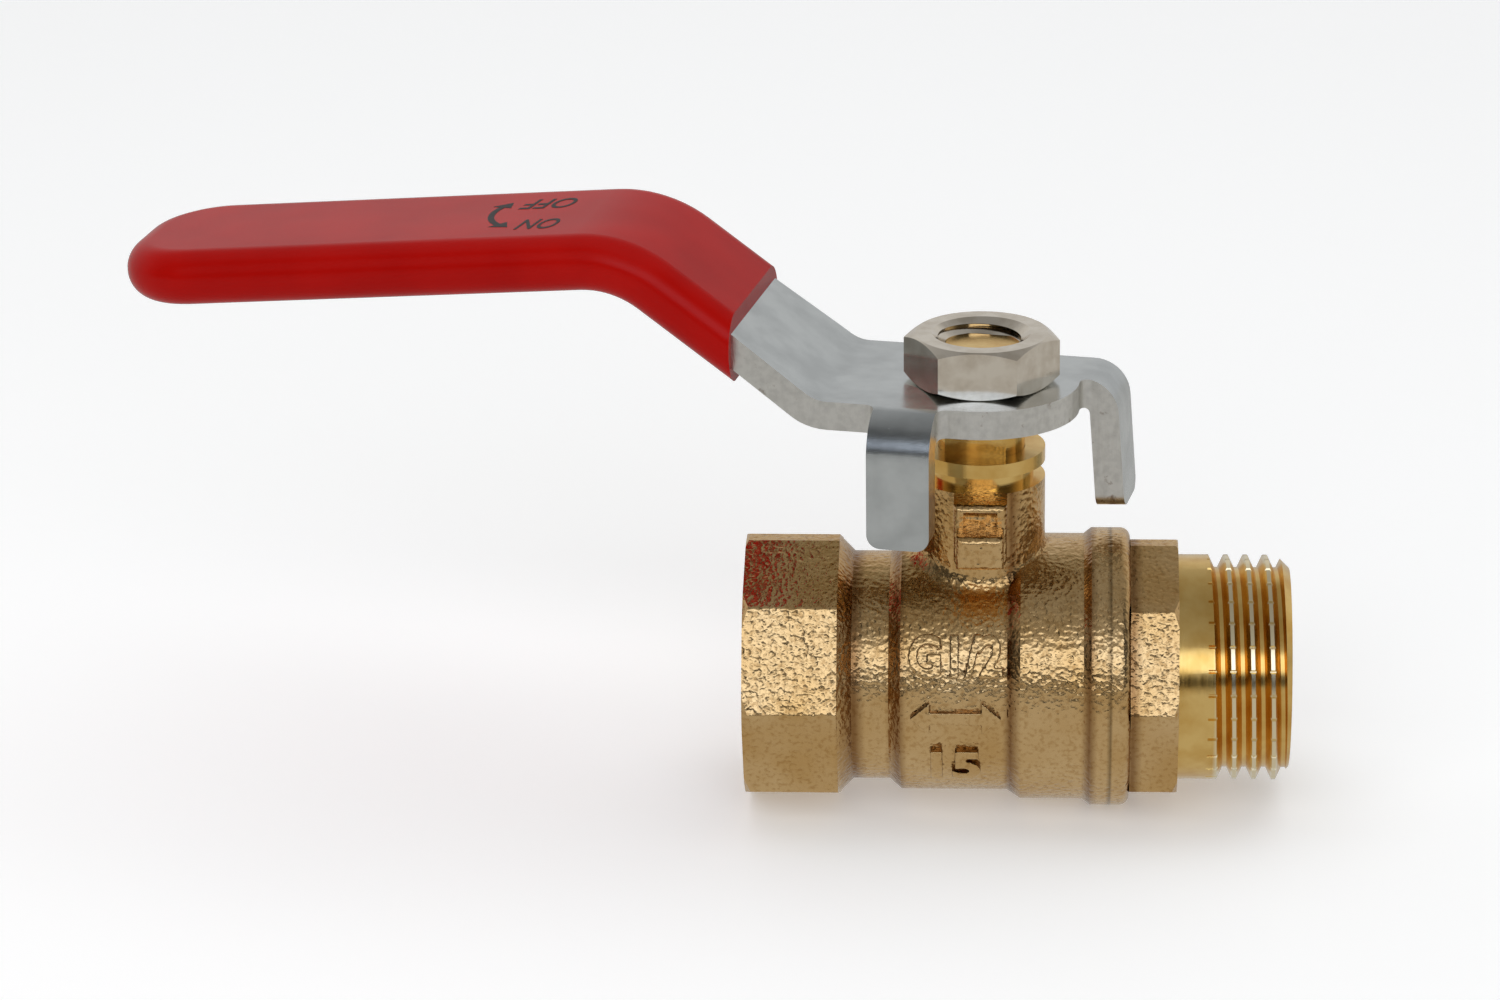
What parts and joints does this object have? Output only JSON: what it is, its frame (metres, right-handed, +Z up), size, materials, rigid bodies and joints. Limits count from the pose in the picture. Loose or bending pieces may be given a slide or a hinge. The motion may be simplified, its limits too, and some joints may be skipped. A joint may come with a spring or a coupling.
{
  "type": "threaded ball valve",
  "caption": "Two-piece brass ball valve, female thread to male thread, opened and closed by a quarter-turn lever with a dipped sleeve.",
  "frame": {"origin": "centre of the inlet's end face, on the pipe axis", "axes": "+X along the pipe from the female inlet to the male outlet, +Z up the stem, +Y to the back; the stem axis is at x = 21.8 mm"},
  "size_m": [0.109, 0.0365, 0.0551],
  "materials": {
    "forged_brass": "shot-blasted forging with machined ends",
    "chromed_ball": "polished plate on brass",
    "ptfe": "smooth white",
    "turned_brass": "turned",
    "nitrile": "smooth black",
    "plated_steel": "zinc plated, lightly grained",
    "red_pvc": "dipped, glossy",
    "nickel_nut": "nickel plated"
  },
  "bodies": {
    "housing": {"valve_body": "forged_brass", "end_cap": "forged_brass", "inlet_seat": "ptfe", "outlet_seat": "ptfe", "thrust_washer": "ptfe"},
    "handle": {"lever": "plated_steel", "grip_sleeve": "red_pvc", "handle_nut": "nickel_nut", "stem": "turned_brass", "ball": "chromed_ball", "stem_oring_1": "nitrile", "stem_oring_2": "nitrile"}
  },
  "joints": [
    {"name": "quarter_turn", "type": "hinge", "parent": "housing", "child": "handle", "pos_m": [0.0218, 0, 0], "axis": [0, 0, 1], "range_deg": [-79, 11]}
  ]
}
